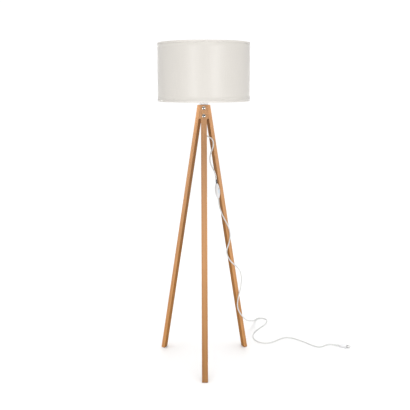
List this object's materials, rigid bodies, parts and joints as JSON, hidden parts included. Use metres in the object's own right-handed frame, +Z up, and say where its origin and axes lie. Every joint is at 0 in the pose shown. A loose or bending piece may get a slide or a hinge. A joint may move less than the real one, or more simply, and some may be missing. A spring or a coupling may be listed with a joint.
{
  "type": "tripod floor lamp",
  "caption": "Floor lamp: drum shade on a lampholder, small wooden hub, leaning wooden legs, and a lead with a hand switch and a plug.",
  "frame": {"origin": "on the floor, under the lamp's axis, at the centre of the circle that the three feet stand on", "axes": "+Z up along the lamp's axis, front leg towards -Y, back legs at 30 and 150 degrees from +X"},
  "size_m": [0.9584, 0.7002, 1.508],
  "materials": {
    "wood": "clear matt lacquer on light beech-like wood, grain along the legs",
    "pad": "pressed felt",
    "bolt_steel": "nickel plated, satin",
    "brass": "plain",
    "white_plastic": "moulded, satin",
    "rocker_plastic": "moulded, slightly bluish white",
    "dark_plastic": "moulded, matt",
    "ceramic_white": "smooth insulating white",
    "white_wire": "powder coated",
    "shade_fabric": "fine plain weave, satin sheen",
    "shade_lining": "translucent laminate",
    "shade_trim": "rolled fabric edge",
    "opal_glass": "opal, matt",
    "white_cord": "soft smooth PVC"
  },
  "bodies": {
    "root": {"leg_front": "wood", "leg_right": "wood", "leg_left": "wood", "hub_block": "wood", "foot_pad_front": "pad", "foot_pad_right": "pad", "foot_pad_left": "pad", "leg_bolts": "bolt_steel", "threaded_inserts": "brass", "threaded_tube": "bolt_steel", "hub_washers": "bolt_steel", "lock_nut": "bolt_steel", "cord_gland": "white_plastic", "inner_lead": "white_cord", "lampholder_cap": "white_plastic", "lampholder_sleeve": "white_plastic", "socket_insulator": "ceramic_white", "screw_shell": "brass", "centre_contact": "brass", "socket_terminals": "brass", "fitter_ring": "white_wire", "spider_arms": "white_wire", "shade_ring_bottom": "white_wire", "shade_ring_top": "white_wire", "shade_lining": "shade_lining", "shade_fabric": "shade_fabric", "shade_trim_bottom": "shade_trim", "shade_trim_top": "shade_trim", "cord_upper": "white_cord", "switch_relief_top": "dark_plastic", "switch_housing_front": "white_plastic", "switch_housing_back": "white_plastic", "switch_contacts": "brass", "switch_screws": "bolt_steel", "switch_relief_bottom": "white_cord", "cord_lower": "white_cord", "plug_relief": "white_cord", "plug_body": "white_plastic", "plug_pins": "bolt_steel", "plug_pin_sleeves": "dark_plastic"},
    "bulb_lift": {"bulb_tip": "bolt_steel"},
    "bulb": {"bulb_insulator": "dark_plastic", "bulb_cap": "bolt_steel", "bulb_collar": "white_plastic", "bulb_globe": "opal_glass"},
    "clamp_ring": {"shade_clamp_ring": "white_plastic"},
    "rocker": {"switch_rocker": "rocker_plastic"}
  },
  "joints": [
    {"name": "bulb_rise", "type": "slide", "parent": "root", "child": "bulb_lift", "axis": [0, 0, 1], "range_m": [0, 0.009]},
    {"name": "bulb_turn", "type": "hinge", "parent": "bulb_lift", "child": "bulb", "pos_m": [0, 0, 1.29], "axis": [0, 0, 1], "range_deg": [0, 900]},
    {"name": "clamp_ring_turn", "type": "hinge", "parent": "root", "child": "clamp_ring", "pos_m": [0, 0, 1.27], "axis": [0, 0, 1], "range_deg": [0, 1080]},
    {"name": "switch_rock", "type": "hinge", "parent": "root", "child": "rocker", "pos_m": [0.06631, 0.01117, 0.8253], "axis": [0.7032, 0.7071, 0.0739], "range_deg": [-14, 0]}
  ],
  "couplings": [
    {"joint": "bulb_rise", "follows": "bulb_turn", "m_per_rad": 0.000573}
  ]
}
